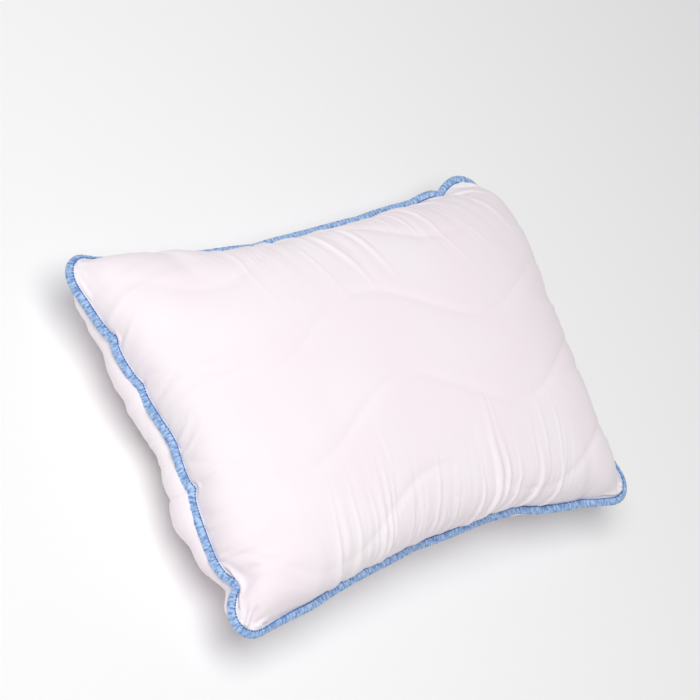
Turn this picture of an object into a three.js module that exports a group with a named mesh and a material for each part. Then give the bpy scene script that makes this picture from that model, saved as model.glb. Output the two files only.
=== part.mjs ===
// A bed pillow that lies on its back panel: two quilted panels, each a face fabric, a layer of
// wadding and a lining held together by wavy lines of stitching, sewn to each other round the edge,
// filled with loose polyester fibre and bound with a folded tape.
//
// Units are millimetres. +X runs along the long sides, +Y along the short ones and +Z is up. The
// origin is the centre of the pillow's box, on the surface that it lies on. Layers that touch on the
// real pillow stand a small clearance apart here, so that each one is a solid of its own.

import * as THREE from "three";

// Overall size of the filled pillow
const LENGTH = 655; // corner to corner along X, over the binding
const WIDTH = 466; // corner to corner along Y, over the binding
const FRONT_CROWN = 84; // rise of the front panel above the seam
const BACK_CROWN = 80; // drop of the back panel below the seam, before the surface flattens it
const REST_FLAT = 6; // how much of that drop the surface presses flat
const SEAM_HEIGHT = BACK_CROWN - REST_FLAT; // middle of the edge seam above the surface

// Plan shape of the edge seam
const END_BOW = 20; // how far the middle of a short side pulls in
const SIDE_BOW = 29; // how far the middle of a long side pulls in
const CORNER_POWER = 18; // superellipse power of the seam, where 2 is an ellipse
const CROWN_POWER = 2; // the same at the crown

// Rise of a panel from the seam to the crown
const FALL_POWER = 2.4;
const ROUND_POWER = 0.38;

// Cut size of a panel between its seams, when it lies flat
const FLAT_LENGTH = 680;
const FLAT_WIDTH = 480;

// Layers of a panel, from the outside in
const CLEARANCE = 0.3; // between layers that touch
const COVER_THICKNESS = 0.6;
const THREAD_SPACE = 3.6; // between the cover and the wadding, where the quilting thread lies
const WADDING_THICKNESS = 5;
const WADDING_AT_SEAM = 0.6; // the same wadding, pressed flat in the seam
const LINING_THICKNESS = 0.4;
const SEAM_TAPER = 0.05; // share of a panel, from the seam inwards, where its wadding swells

// Edge binding and its stitching
const BINDING_DEPTH = 10; // from the seam out to the fold
const BINDING_THICKNESS = 0.9;
const BINDING_START = 0.5; // from the seam out to the binding's inner edge
const FOLD_BEVEL = 2;
const STITCH_INSET = 2; // from the seam out to the row of stitching
const BINDING_THREAD = 0.8;

// Quilting
const ROWS = 4;
const ROW_SPACING = 112;
const ROW_SHIFT = 3; // of the middle of the rows, towards +Y
const WAVE_LENGTH = 345;
const WAVE_HEIGHT = 33; // from a wave's middle to its crest
const WAVE_START = -20; // a crest's place along the length
const QUILTING_THREAD = 0.8;
const ROW_REACH = 0.84; // share of the cloth's half length where the rows end
const THREAD_REACH = 0.95; // share of the way out on the plan that a crest may reach

// Fineness of the faceted surfaces
const SIDE_STEPS = 10; // along each side of the pillow
const RING_SHARES = [0.985, 0.95, 0.88, 0.76, 0.58, 0.33];
const QUILTING_STEPS = 28; // points on each row's path
const THREAD_STEPS = 42; // sections along each thread
const THREAD_SIDES = 4;
const ARC_STEPS = 200;

const SEGMENTS = 4 * SIDE_STEPS;
const FRONT = 1;
const BACK = -1;

const MATERIALS = {
  cover: { color: 0xfaf5f8, roughness: 0.62 },
  wadding: { color: 0xf3f2ef, roughness: 0.95 },
  lining: { color: 0xeceaea, roughness: 0.85 },
  fibre: { color: 0xf6f5f3, roughness: 1 },
  binding: { color: 0x8ab2e6, roughness: 0.6 },
  bindingThread: { color: 0x5f8fd2, roughness: 0.5 },
  quiltingThread: { color: 0xffffff, roughness: 0.5 },
};

// ---- plan of the seam ----

// Points round a square from -1 to 1, closer together at its corners.
function squarePoints() {
  const points = [];
  for (let side = 0; side < 4; side++) {
    for (let step = 0; step < SIDE_STEPS; step++) {
      const along = Math.sin((Math.PI / 2) * ((2 * step) / SIDE_STEPS - 1));
      points.push(new THREE.Vector2(along, -1).rotateAround(new THREE.Vector2(), (side * Math.PI) / 2));
    }
  }
  return points;
}

const SQUARE = squarePoints();

// The superellipse power of the ring at a share of the way from the crown to the seam.
function ringPower(share) {
  return CROWN_POWER + (CORNER_POWER - CROWN_POWER) * share ** 4;
}

// How far out a point of the square lies, where 1 is on the superellipse.
function gauge(u, v, power) {
  return (Math.abs(u) ** power + Math.abs(v) ** power) ** (1 / power);
}

// The seam's half sizes, chosen so that the bowed, round-cornered outline has the overall size.
function halfSize(overall, bow, along) {
  const target = overall / 2 - BINDING_DEPTH;
  const limits = SQUARE.map((d) => {
    const share = 1 / gauge(d.x, d.y, CORNER_POWER);
    const [out, across] = along === "x" ? [d.x * share, d.y * share] : [d.y * share, d.x * share];
    return out > 0.5 ? target / out + bow * (1 - across ** 2) : Infinity;
  });
  return Math.min(...limits);
}

const HALF_LENGTH = halfSize(LENGTH, END_BOW, "x");
const HALF_WIDTH = halfSize(WIDTH, SIDE_BOW, "y");

// The place on the plan of a point of the square, with the sides bowed in.
function plan(u, v) {
  return new THREE.Vector2(
    u * (HALF_LENGTH - END_BOW * (1 - v ** 2)),
    v * (HALF_WIDTH - SIDE_BOW * (1 - u ** 2)),
  );
}

function ringPoint(index, share) {
  const d = SQUARE[index];
  const scale = share / gauge(d.x, d.y, ringPower(share));
  return plan(d.x * scale, d.y * scale);
}

const SEAM_LINE = SQUARE.map((_, index) => ringPoint(index, 1));

// The level direction that points away from the pillow at each point of the seam.
const OUTWARD = SEAM_LINE.map((_, index) => {
  const before = SEAM_LINE[(index + SEGMENTS - 1) % SEGMENTS];
  const after = SEAM_LINE[(index + 1) % SEGMENTS];
  return new THREE.Vector2(after.y - before.y, before.x - after.x).normalize();
});

function seamOffset(index, distance) {
  return SEAM_LINE[index].clone().addScaledVector(OUTWARD[index], distance);
}

// ---- depths of the layers ----

// A depth below the panel's outer face: its value over the panel, and its value in the seam.
const depth = (over, seam) => ({ over, seam });
const below = (level, over, seam) => depth(level.over + over, level.seam + seam);

const COVER_OUT = depth(0, 0);
const COVER_IN = below(COVER_OUT, COVER_THICKNESS, COVER_THICKNESS);
const THREAD_LEVEL = below(COVER_IN, THREAD_SPACE / 2, CLEARANCE / 2);
const WADDING_OUT = below(COVER_IN, THREAD_SPACE, CLEARANCE);
const WADDING_IN = below(WADDING_OUT, WADDING_THICKNESS, WADDING_AT_SEAM);
const LINING_OUT = below(WADDING_IN, CLEARANCE, CLEARANCE);
const LINING_IN = below(LINING_OUT, LINING_THICKNESS, LINING_THICKNESS);
const FILL_OUT = below(LINING_IN, CLEARANCE, CLEARANCE);
const STACK_HALF = LINING_IN.seam + CLEARANCE / 2; // half of the stack of both panels in the seam

// The channel inside the binding. It ends where the tape keeps its thickness behind the fold's bevel.
const CHANNEL_HALF = STACK_HALF + CLEARANCE;
const BINDING_HALF = CHANNEL_HALF + BINDING_THICKNESS;
const CHANNEL_END = BINDING_DEPTH - FOLD_BEVEL - BINDING_THICKNESS * (Math.SQRT2 - 1);
const ALLOWANCE = CHANNEL_END - CLEARANCE; // how far the panels' edges reach into the binding

function depthAt(level, share) {
  const mix = THREE.MathUtils.smoothstep(1 - share, 0, SEAM_TAPER);
  return THREE.MathUtils.lerp(level.seam, level.over, mix);
}

// ---- a panel's surfaces ----

// The outer face's height from the seam's middle, at a share of the way out.
function rise(share, side) {
  const crown = side === FRONT ? FRONT_CROWN : BACK_CROWN;
  return STACK_HALF + (crown - STACK_HALF) * (1 - share ** FALL_POWER) ** ROUND_POWER;
}

function outerHeight(share, side) {
  return Math.max(0, SEAM_HEIGHT + side * rise(share, side));
}

// Triangles between neighbouring rings, and a fan to the centre. The rings run inwards.
function surfaceFaces(ringCount, first, flip) {
  const faces = [];
  const add = (a, b, c) => faces.push(...(flip ? [a, c, b] : [a, b, c]));
  const at = (ring, index) => first + ring * SEGMENTS + (index % SEGMENTS);
  const centre = first + ringCount * SEGMENTS;
  for (let index = 0; index < SEGMENTS; index++) {
    for (let ring = 0; ring + 1 < ringCount; ring++) {
      add(at(ring, index), at(ring, index + 1), at(ring + 1, index + 1));
      add(at(ring, index), at(ring + 1, index + 1), at(ring + 1, index));
    }
    add(at(ringCount - 1, index), at(ringCount - 1, index + 1), centre);
  }
  return faces;
}

function toGeometry(points, faces) {
  const geometry = new THREE.BufferGeometry().setFromPoints(points);
  geometry.setIndex(faces);
  geometry.computeVertexNormals();
  return geometry;
}

const RINGS = [1, ...RING_SHARES]; // the seam and the rings inside it

// A panel's outer face, from the seam in, with the direction that points out of it at each point.
function outerFace(side) {
  const points = RINGS.flatMap((share) =>
    SQUARE.map((_, index) => {
      const p = ringPoint(index, share);
      return new THREE.Vector3(p.x, p.y, outerHeight(share, side));
    }),
  );
  points.push(new THREE.Vector3(0, 0, outerHeight(0, side)));
  const faces = surfaceFaces(RINGS.length, 0, side === BACK);
  const normal = toGeometry(points, faces).getAttribute("normal");
  const normals = points.map((_, i) => new THREE.Vector3().fromBufferAttribute(normal, i));
  return { points, normals, side };
}

const FACES = { [FRONT]: outerFace(FRONT), [BACK]: outerFace(BACK) };

// The points of the surface at a level below a panel's outer face. In the seam the layers lie level.
function levelPoints(side, level) {
  const { points, normals } = FACES[side];
  return points.map((point, i) => {
    const ring = Math.floor(i / SEGMENTS);
    const share = ring < RINGS.length ? RINGS[ring] : 0;
    const inward = ring === 0 ? new THREE.Vector3(0, 0, -side) : normals[i].clone().negate();
    return point.clone().addScaledVector(inward, depthAt(level, share));
  });
}

// The same level in the seam allowance, at its outer edge.
function allowancePoints(side, level) {
  const z = SEAM_HEIGHT + side * (STACK_HALF - level.seam);
  return SQUARE.map((_, index) => {
    const p = seamOffset(index, ALLOWANCE);
    return new THREE.Vector3(p.x, p.y, z);
  });
}

// One layer of a panel, as a closed sheet between two levels.
function panelLayer(side, outerLevel, innerLevel) {
  const outside = [...allowancePoints(side, outerLevel), ...levelPoints(side, outerLevel)];
  const inside = [...allowancePoints(side, innerLevel), ...levelPoints(side, innerLevel)];
  const ringCount = RINGS.length + 1;
  const faces = [
    ...surfaceFaces(ringCount, 0, side === BACK),
    ...surfaceFaces(ringCount, outside.length, side === FRONT),
    ...rimFaces(0, outside.length, side === BACK),
  ];
  return toGeometry([...outside, ...inside], faces);
}

// The band that joins two surfaces at their outermost rings, the first of which is the upper one.
function rimFaces(upper, lower, flip) {
  const faces = [];
  for (let index = 0; index < SEGMENTS; index++) {
    const next = (index + 1) % SEGMENTS;
    const [a, b, c, d] = [upper + index, lower + index, lower + next, upper + next];
    faces.push(...(flip ? [a, c, b, a, d, c] : [a, b, c, a, c, d]));
  }
  return faces;
}

// The loose fibre, which fills all that the two linings enclose.
function fibreFill() {
  const front = levelPoints(FRONT, FILL_OUT).slice(SEGMENTS);
  const back = levelPoints(BACK, FILL_OUT).slice(SEGMENTS);
  const faces = [
    ...surfaceFaces(RING_SHARES.length, 0, false),
    ...surfaceFaces(RING_SHARES.length, front.length, true),
    ...rimFaces(0, front.length, false),
  ];
  return toGeometry([...front, ...back], faces);
}

// ---- what runs round the edge ----

// A closed loop round the seam. Each corner of the section is [distance out from the seam, height
// above its middle], and with out drawn to the right they go round clockwise.
function edgeLoop(section) {
  const points = SQUARE.flatMap((_, index) =>
    section.map(([out, up]) => {
      const p = seamOffset(index, out);
      return new THREE.Vector3(p.x, p.y, SEAM_HEIGHT + up);
    }),
  );
  const corners = section.length;
  const faces = [];
  for (let index = 0; index < SEGMENTS; index++) {
    const here = index * corners;
    const next = ((index + 1) % SEGMENTS) * corners;
    for (let corner = 0; corner < corners; corner++) {
      const other = (corner + 1) % corners;
      faces.push(here + corner, next + other, next + corner);
      faces.push(here + corner, here + other, next + other);
    }
  }
  return toGeometry(points, faces);
}

// The tape folded over the panels' edges, a U that is open towards the pillow.
function edgeBinding() {
  const bevelStart = BINDING_DEPTH - FOLD_BEVEL;
  const upperHalf = [
    [CHANNEL_END, CHANNEL_HALF],
    [BINDING_START, CHANNEL_HALF],
    [BINDING_START, BINDING_HALF],
    [bevelStart, BINDING_HALF],
    [BINDING_DEPTH, BINDING_HALF - FOLD_BEVEL],
  ];
  const lowerHalf = upperHalf.map(([out, up]) => [out, -up]).reverse();
  return edgeLoop([...upperHalf, ...lowerHalf]);
}

// One thread of the row of stitching that closes the binding, on the front or the back of it.
function bindingThread(side) {
  const half = BINDING_THREAD / 2;
  const middle = side * (BINDING_HALF + CLEARANCE + half);
  return edgeLoop([
    [STITCH_INSET - half, middle],
    [STITCH_INSET, middle + half],
    [STITCH_INSET + half, middle],
    [STITCH_INSET, middle - half],
  ]);
}

// ---- quilting ----

// Lengths along the panel's profile from the crown, for even shares of the way out on the plan.
function profileArc(side) {
  const lengths = [0];
  for (let step = 1; step <= ARC_STEPS; step++) {
    const [from, to] = [(step - 1) / ARC_STEPS, step / ARC_STEPS];
    const level = (HALF_WIDTH - SIDE_BOW) / ARC_STEPS;
    lengths.push(lengths[step - 1] + Math.hypot(level, rise(to, side) - rise(from, side)));
  }
  return lengths;
}

// The share of the way out on the plan, for a share of the way out along the cloth.
function planShare(clothShare, arc) {
  const wanted = clothShare * arc[ARC_STEPS];
  const step = arc.findIndex((length) => length >= wanted);
  return step < 0 ? 1 : step / ARC_STEPS;
}

// The height of a surface, made of triangles, over a place on the plan.
function heightOver(x, y, points, faces) {
  for (let i = 0; i < faces.length; i += 3) {
    const [a, b, c] = [points[faces[i]], points[faces[i + 1]], points[faces[i + 2]]];
    const area = (b.x - a.x) * (c.y - a.y) - (c.x - a.x) * (b.y - a.y);
    const toB = ((x - a.x) * (c.y - a.y) - (c.x - a.x) * (y - a.y)) / area;
    const toC = ((b.x - a.x) * (y - a.y) - (x - a.x) * (b.y - a.y)) / area;
    if (toB >= 0 && toC >= 0 && toB + toC <= 1) {
      return a.z + toB * (b.z - a.z) + toC * (c.z - a.z);
    }
  }
  throw new Error("a quilting line leaves the panel");
}

// The ring share of a place on the square, where the ring's power itself depends on the share.
function shareOf(u, v) {
  let [low, high] = [0, 2];
  for (let halving = 0; halving < 30; halving++) {
    const middle = (low + high) / 2;
    const outside = gauge(u, v, ringPower(Math.min(middle, 1))) > middle;
    [low, high] = outside ? [middle, high] : [low, middle];
  }
  return low;
}

// The middle of one wavy row, on the level between the cover and the wadding.
function quiltingPath(side, row) {
  const level = levelPoints(side, THREAD_LEVEL);
  const faces = surfaceFaces(RINGS.length, 0, side === BACK);
  const arc = profileArc(side);
  const middle = ROW_SHIFT + (row - (ROWS - 1) / 2) * ROW_SPACING;
  const points = [];
  for (let step = 0; step <= QUILTING_STEPS; step++) {
    const u = ROW_REACH * Math.sin((Math.PI / 2) * ((2 * step) / QUILTING_STEPS - 1));
    const phase = (2 * Math.PI * ((u * FLAT_LENGTH) / 2 - WAVE_START)) / WAVE_LENGTH;
    const v = (middle + WAVE_HEIGHT * Math.cos(phase)) / (FLAT_WIDTH / 2);
    const clothShare = shareOf(u, v);
    const share = Math.min(planShare(clothShare, arc), THREAD_REACH);
    const place = plan((u * share) / clothShare, (v * share) / clothShare);
    points.push(new THREE.Vector3(place.x, place.y, heightOver(place.x, place.y, level, faces)));
  }
  return points;
}

// A round section as a shape, for a thread.
function threadSection(diameter) {
  const shape = new THREE.Shape();
  for (let side = 0; side < THREAD_SIDES; side++) {
    const angle = (2 * Math.PI * side) / THREAD_SIDES;
    const [x, y] = [(Math.cos(angle) * diameter) / 2, (Math.sin(angle) * diameter) / 2];
    if (side === 0) shape.moveTo(x, y);
    else shape.lineTo(x, y);
  }
  shape.closePath();
  return shape;
}

function quiltingThread(side, row) {
  return new THREE.ExtrudeGeometry(threadSection(QUILTING_THREAD), {
    steps: THREAD_STEPS,
    bevelEnabled: false,
    extrudePath: new THREE.CatmullRomCurve3(quiltingPath(side, row), false, "centripetal"),
  });
}

// ---- the pillow ----

const pillow = new THREE.Group();

function add(name, geometry, finish) {
  const material = new THREE.MeshStandardMaterial({ ...MATERIALS[finish], metalness: 0 });
  const mesh = new THREE.Mesh(geometry, material);
  mesh.name = name;
  pillow.add(mesh);
}

for (const [label, side] of [
  ["front", FRONT],
  ["back", BACK],
]) {
  add(`${label}_cover`, panelLayer(side, COVER_OUT, COVER_IN), "cover");
  add(`${label}_wadding`, panelLayer(side, WADDING_OUT, WADDING_IN), "wadding");
  add(`${label}_lining`, panelLayer(side, LINING_OUT, LINING_IN), "lining");
  for (let row = 0; row < ROWS; row++) {
    add(`${label}_quilting_thread_${row + 1}`, quiltingThread(side, row), "quiltingThread");
  }
}
add("fibre_fill", fibreFill(), "fibre");
add("edge_binding", edgeBinding(), "binding");
add("binding_needle_thread", bindingThread(FRONT), "bindingThread");
add("binding_bobbin_thread", bindingThread(BACK), "bindingThread");

export default pillow;
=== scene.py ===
"""A bed pillow on a pale floor: two quilted microfibre panels with a tape bound edge, filled with fibre.

Each panel is one cloth, cut flat and solved as a net of threads that keep their length. Its edge is
held on the seam, which filling has drawn in, so the spare cloth gathers into puckers and wrinkles.
Sizes are in millimetres up to mesh_piece(), which turns them to metres. The frame gives every place.
"""

import math

import bpy
import numpy as np
from mathutils import Matrix, Vector


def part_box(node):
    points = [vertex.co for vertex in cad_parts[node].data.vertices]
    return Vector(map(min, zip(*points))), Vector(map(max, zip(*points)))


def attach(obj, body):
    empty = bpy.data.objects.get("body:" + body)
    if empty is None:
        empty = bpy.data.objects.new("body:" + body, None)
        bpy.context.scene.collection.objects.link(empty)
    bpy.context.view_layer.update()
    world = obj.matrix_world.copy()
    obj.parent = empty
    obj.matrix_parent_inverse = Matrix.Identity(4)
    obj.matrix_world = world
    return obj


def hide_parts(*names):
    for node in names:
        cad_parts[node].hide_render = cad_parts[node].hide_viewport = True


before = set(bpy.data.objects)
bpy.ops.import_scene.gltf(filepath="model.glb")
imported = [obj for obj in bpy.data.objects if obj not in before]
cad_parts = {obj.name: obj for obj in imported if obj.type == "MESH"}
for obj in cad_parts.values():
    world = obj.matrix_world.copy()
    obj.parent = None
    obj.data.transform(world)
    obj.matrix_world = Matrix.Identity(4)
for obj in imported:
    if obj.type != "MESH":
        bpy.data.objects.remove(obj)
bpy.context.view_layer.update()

MM = 0.001

# Cloth, as cut, between its seams
FLAT_LENGTH = 680
FLAT_WIDTH = 480
CORNER_RADIUS = 36
COVER_THICKNESS = 0.5
BACK_SHORTFALL = 4  # how much less the back panel swells than the front

# The edge
BINDING_DEPTH = 10
ALLOWANCE = 5.5  # of the covers beyond the seam, inside the binding
STITCH_LENGTH = 3.2

# Quilting rows, as stitched on the flat cloth
ROWS = 4
ROW_SPACING = 112
ROW_SHIFT = 3
WAVE_LENGTH = 345
WAVE_HEIGHT = 33
WAVE_START = -20
VALLEY_DEPTH = 2.2
VALLEY_HALF_WIDTH = 5

# How far the middle of each side's seam is pulled in
LEFT_BOW = 23
RIGHT_BOW = 14
NEAR_BOW = 32
FAR_BOW = 31

# The tucks in the seam: place along the side from its middle, half width, pull inwards and lift
LEFT_TUCKS = [(135, 13, 7, 4), (76, 14, 5, 2), (5, 75, 19, -2), (-55, 11, 6, 4), (-172, 20, 27, 10),
              (215, 30, -7, 3)]
RIGHT_TUCKS = [(140, 20, 6, 3), (40, 24, 5, -3), (-70, 20, 7, 3), (-150, 18, 4, -2), (-115, 50, 6, 0),
               (120, 60, -6, 0)]
NEAR_TUCKS = [(-215, 60, -6, 0), (-40, 50, 5, -2), (85, 110, 12, 3), (130, 28, 6, 3), (240, 18, 4, -2)]
FAR_TUCKS = [(262, 18, 12, -6), (-305, 50, -14, 3), (205, 60, 8, 0), (110, 26, 3, 2), (-60, 30, 3, -3),
             (-215, 30, 5, -8)]
TUCK_SHARPNESS = 1.6
TUCK_ROUNDING = 0.04  # takes the point off a tuck's middle
TUCK_SHARE_POWER = 5  # how soon a tuck dies out further in
SEAM_CREEP = 6  # how far the middle of the long seams is drawn towards the left end
SEAM_CREEP_POWER = 6  # and how soon that dies out further in

# Cells of the coarsest net along X and Y; each level after it has twice as many each way
GRID = (84, 60)
FULL_LEVELS = 3


def box_mm(node):
    """A CAD node's lowest and highest corners, in millimetres."""
    low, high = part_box(node)
    return np.array(low) / MM, np.array(high) / MM


binding_low, binding_high = box_mm("edge_binding")
cover_low, cover_high = box_mm("front_cover")
SEAM_HEIGHT = float(binding_low[2] + binding_high[2]) / 2
HALF_LENGTH = float(binding_high[0]) - BINDING_DEPTH
HALF_WIDTH = float(binding_high[1]) - BINDING_DEPTH
FRONT_CROWN = float(cover_high[2]) - SEAM_HEIGHT
BACK_CROWN = FRONT_CROWN - BACK_SHORTFALL


# ---- the flat cloth ----


def grid_square(cells):
    """The net's knots as places on a square from -1 to 1."""
    u = np.linspace(-1, 1, cells[0] + 1)
    v = np.linspace(-1, 1, cells[1] + 1)
    return np.meshgrid(u, v, indexing="ij")


def flat_cloth(u, v):
    """The net laid flat, with the corners of the rectangle rounded."""
    x, y = u * FLAT_LENGTH / 2, v * FLAT_WIDTH / 2
    a = np.clip((abs(x) - FLAT_LENGTH / 2) / CORNER_RADIUS + 1, 0, 1)
    b = np.clip((abs(y) - FLAT_WIDTH / 2) / CORNER_RADIUS + 1, 0, 1)
    pull_x = CORNER_RADIUS * a * (1 - np.sqrt(1 - b**2 / 2))
    pull_y = CORNER_RADIUS * b * (1 - np.sqrt(1 - a**2 / 2))
    return x - np.sign(x) * pull_x, y - np.sign(y) * pull_y


def row_middles():
    """Where the quilting rows' middle lines lie across the cloth."""
    return [ROW_SHIFT + (row - (ROWS - 1) / 2) * ROW_SPACING for row in range(ROWS)]


def wave(x):
    """How far a quilting row is off its middle line."""
    return WAVE_HEIGHT * np.cos(2 * np.pi * (x - WAVE_START) / WAVE_LENGTH)


def row_distance(x, y):
    """How far a place on the flat cloth is from the nearest quilting row."""
    slope = -WAVE_HEIGHT * 2 * np.pi / WAVE_LENGTH * np.sin(2 * np.pi * (x - WAVE_START) / WAVE_LENGTH)
    gaps = [abs(y - middle - wave(x)) for middle in row_middles()]
    return np.min(gaps, axis=0) / np.sqrt(1 + slope**2)


# ---- the seam ----


def tuck_offsets(along, tucks):
    """How far the seam is pulled in and lifted at a place along a side."""
    inward, lift = np.zeros_like(along), np.zeros_like(along)
    for place, half_width, pull, rise in tucks:
        shape = np.exp(-np.sqrt(((along - place) / half_width) ** 2 + TUCK_ROUNDING) * TUCK_SHARPNESS)
        inward += pull * shape
        lift += rise * shape
    return inward, lift


def seam_place(u, v):
    """The seam's place for a place on the edge of the square, and the same rule carried inwards."""
    x_flat, y_flat = flat_cloth(u, v)
    s, t = 2 * x_flat / FLAT_LENGTH, 2 * y_flat / FLAT_WIDTH
    end_bow = np.where(s < 0, LEFT_BOW, RIGHT_BOW) * (1 - t**2)
    side_bow = np.where(t < 0, NEAR_BOW, FAR_BOW) * (1 - s**2)
    corner = 1 - CORNER_RADIUS * 2 / FLAT_WIDTH
    half_length = HALF_LENGTH + LEFT_BOW * (1 - corner**2)
    half_width = HALF_WIDTH + NEAR_BOW * (1 - (1 - CORNER_RADIUS * 2 / FLAT_LENGTH) ** 2)
    x = s * (half_length - end_bow)
    y = t * (half_width - side_bow)
    x = x - SEAM_CREEP * (1 - s**2) * np.abs(v) ** SEAM_CREEP_POWER
    z = np.zeros_like(x)
    for tucks, sign in ((LEFT_TUCKS, -1), (RIGHT_TUCKS, 1)):
        inward, lift = tuck_offsets(y, tucks)
        share = np.where(sign * u > 0, np.abs(u) ** TUCK_SHARE_POWER, 0)
        x = x - sign * inward * share
        z = z + lift * share
    for tucks, sign in ((NEAR_TUCKS, -1), (FAR_TUCKS, 1)):
        inward, lift = tuck_offsets(x, tucks)
        share = np.where(sign * v > 0, np.abs(v) ** TUCK_SHARE_POWER, 0)
        y = y - sign * inward * share
        z = z + lift * share
    return np.stack([x, y, z + SEAM_HEIGHT], axis=-1)


# ---- a panel's shape before it is solved ----

FALL_POWER = 2.55
ROUND_POWER = 0.28
ARC_STEPS = 400

# How far each wall swells out past the seam: left, right, near and far side
FRONT_BULGE = (1, 11, 3, -5)
BACK_BULGE = (18, 8, 2, 8)
FRONT_RIGHT_LEAN = 0.2  # how much more the front's right wall swells for each millimetre along Y
FRONT_RIGHT_RANGE = (-8, 50)
OVERHANG = 22  # how much more the front swells over the far seam by its left corner
OVERHANG_PLACE = -248
OVERHANG_HALF_WIDTH = 78
SWELL_POWER = 8  # how close to the seam a wall has to be to swell
SWELL_PEAK = 2.6  # brings the swell to its full size a third of the way up
SWELL_START = 12  # how steeply it starts above the seam


def profile(share):
    """A panel's rise from the seam, at 1 or -1, to the crown, at 0."""
    return np.clip(1 - np.abs(share) ** FALL_POWER, 0, 1) ** ROUND_POWER


def along_arc(share, half, crown):
    """The plan place for an even place along the cloth, on the arc over the middle of the panel."""
    plan = np.sin(np.linspace(0, np.pi / 2, ARC_STEPS))
    steps = np.hypot(np.diff(plan) * half, np.diff(profile(plan)) * crown)
    arc = np.concatenate([[0], np.cumsum(steps)])
    return np.sign(share) * np.interp(np.abs(share), arc / arc[-1], plan)


def panel_start(u, v, side):
    """The puffed up panel on its seam, side 1 for the front and -1 for the back."""
    crown = FRONT_CROWN if side > 0 else BACK_CROWN
    raised_u = profile(along_arc(u, HALF_LENGTH, crown))
    raised_v = profile(along_arc(v, HALF_WIDTH, crown))
    plan_u = u + (along_arc(u, HALF_LENGTH, crown) - u) * raised_v
    plan_v = v + (along_arc(v, HALF_WIDTH, crown) - v) * raised_u
    place = seam_place(plan_u, plan_v)
    raised = raised_u * raised_v
    left, right, near, far = FRONT_BULGE if side > 0 else BACK_BULGE
    if side > 0:
        right = np.clip(right + FRONT_RIGHT_LEAN * place[..., 1], *FRONT_RIGHT_RANGE)
        far = far + OVERHANG * np.exp(-(((place[..., 0] - OVERHANG_PLACE) / OVERHANG_HALF_WIDTH) ** 4))
    swell = SWELL_PEAK * np.sqrt(raised) * (1 - raised) * (1 - np.exp(-SWELL_START * raised))
    place[..., 0] += np.sign(u) * np.abs(plan_u) ** SWELL_POWER * swell * np.where(u < 0, left, right)
    place[..., 1] += np.sign(v) * np.abs(plan_v) ** SWELL_POWER * swell * np.where(v < 0, near, far)
    place[..., 2] += side * crown * raised
    place[..., 2] = np.maximum(place[..., 2], 0)
    return place


# ---- solving the net ----

CLOTH_GIVE = 0.01  # share by which every thread may stretch
DIAGONAL_STIFFNESS = 0.35  # of the weave's diagonals beside its threads


def surface_normals(points, side):
    """The directions out of the pillow at a panel's knots."""
    along = np.gradient(points, axis=0)
    across = np.gradient(points, axis=1)
    normal = np.cross(along, across) * side
    return normal / np.linalg.norm(normal, axis=-1, keepdims=True)


def keep_lengths(points, weight, first, second, rest, stiffness):
    """Moves the two ends of each thread of one set towards the thread's own length."""
    a, b = points[first], points[second]
    gap = b - a
    length = np.sqrt((gap * gap).sum(-1))
    wa, wb = weight[first], weight[second]
    share = stiffness * (length - rest) / (length * (wa + wb) + 1e-9)
    move = gap * share[..., None]
    points[first] = a + move * wa[..., None]
    points[second] = b - move * wb[..., None]


def thread_sets(shape, flat, ease):
    """The net's threads in sets that share no knot: along, across and on both diagonals."""
    sets = []
    whole, low, high = slice(None), slice(0, shape[1] - 1), slice(1, shape[1])
    across = {0: (whole, whole), 1: (low, high), -1: (high, low)}
    for di, dj in ((1, 0), (0, 1), (1, 1), (1, -1)):
        for parity in (0, 1):
            if di:
                i, i2 = slice(parity, shape[0] - 1, 2), slice(parity + 1, shape[0], 2)
                j, j2 = across[dj]
            else:
                i, i2 = whole, whole
                j, j2 = slice(parity, shape[1] - 1, 2), slice(parity + 1, shape[1], 2)
            gap = (flat[i2, j2] - flat[i, j]) * (1 + CLOTH_GIVE + ease[i, j])
            stiffness = DIAGONAL_STIFFNESS if di and dj else 1.0
            sets.append(((i, j), (i2, j2), np.linalg.norm(gap, axis=-1), stiffness))
    return sets


def smooth_bending(points, amount, free):
    """Takes sharp bends out of the net, which stands for the cloth's and the wadding's stiffness."""
    amount = amount[..., None] * free[..., None]
    for axis in (0, 1):
        moved = np.moveaxis(points, axis, 0)
        bend = np.zeros_like(moved)
        bend[1:-1] = moved[2:] + moved[:-2] - 2 * moved[1:-1]
        push = np.zeros_like(moved)
        push[1:-1] -= 2 * bend[1:-1]
        push[:-1] += bend[1:]
        push[1:] += bend[:-1]
        points = points - np.moveaxis(push, 0, axis) * amount
    return points


def solve(points, flat, ease, target, side, support, bending, rounds):
    """Finds where the cloth lies: threads keep their length, the fill holds it near the target."""
    weight = np.ones(points.shape[:2])
    weight[[0, -1], :] = 0
    weight[:, [0, -1]] = 0
    normal = surface_normals(target, side)
    hold = (support * weight)[..., None]
    sets = thread_sets(points.shape[:2], flat, ease)
    for _ in range(rounds):
        for first, second, rest, stiffness in sets:
            keep_lengths(points, weight, first, second, rest, stiffness)
        points = smooth_bending(points, bending, weight)
        points += normal * ((target - points) * normal).sum(-1, keepdims=True) * hold
        if side < 0:
            points[..., 2] = np.maximum(points[..., 2], 0)
    return points


def refine(points):
    """The same net with twice as many cells each way."""
    for axis in (0, 1):
        p = np.moveaxis(points, axis, 0)
        out = np.empty((2 * p.shape[0] - 1, *p.shape[1:]))
        out[::2] = p
        middle = (p[1:] + p[:-1]) / 2
        middle[1:-1] += (p[1:-2] + p[2:-1] - p[:-3] - p[3:]) / 16
        out[1::2] = middle
        points = np.moveaxis(out, 0, axis)
    return points


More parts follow.
